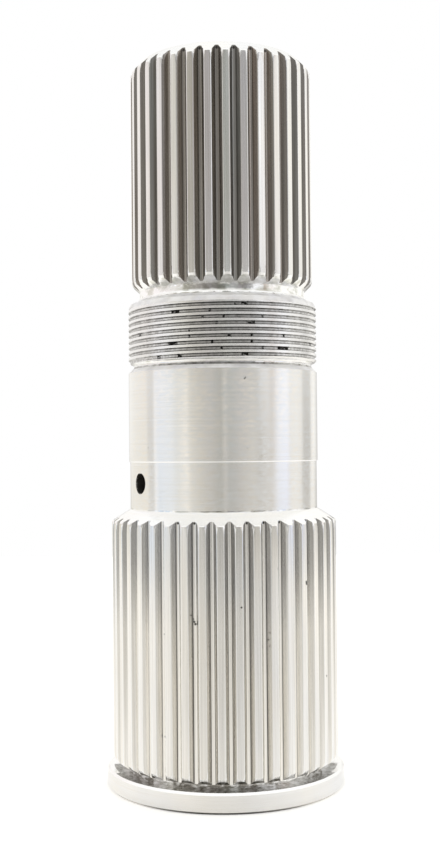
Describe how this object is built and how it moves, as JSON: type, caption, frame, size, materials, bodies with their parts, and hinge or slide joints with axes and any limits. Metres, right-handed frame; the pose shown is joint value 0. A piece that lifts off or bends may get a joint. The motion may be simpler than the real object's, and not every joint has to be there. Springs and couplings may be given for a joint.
{
  "type": "transmission output shaft",
  "caption": "Solid steel shaft with an upper and a lower involute spline, a bearing journal, a locknut thread, a radial oil hole and a thrust flange at its foot.",
  "frame": {"origin": "centre of the flange's end face, on the shaft's axis, where the shaft stands", "axes": "+Z along the shaft's axis, from the flange towards the upper spline; -Y is the side seen in the picture, with the oil hole to its left"},
  "size_m": [0.056, 0.056, 0.1707],
  "materials": {
    "machined_steel": "bright turned and hobbed steel, uncoated, with fine turning marks"
  },
  "bodies": {
    "root": {"output_shaft": "machined_steel"}
  },
  "joints": []
}
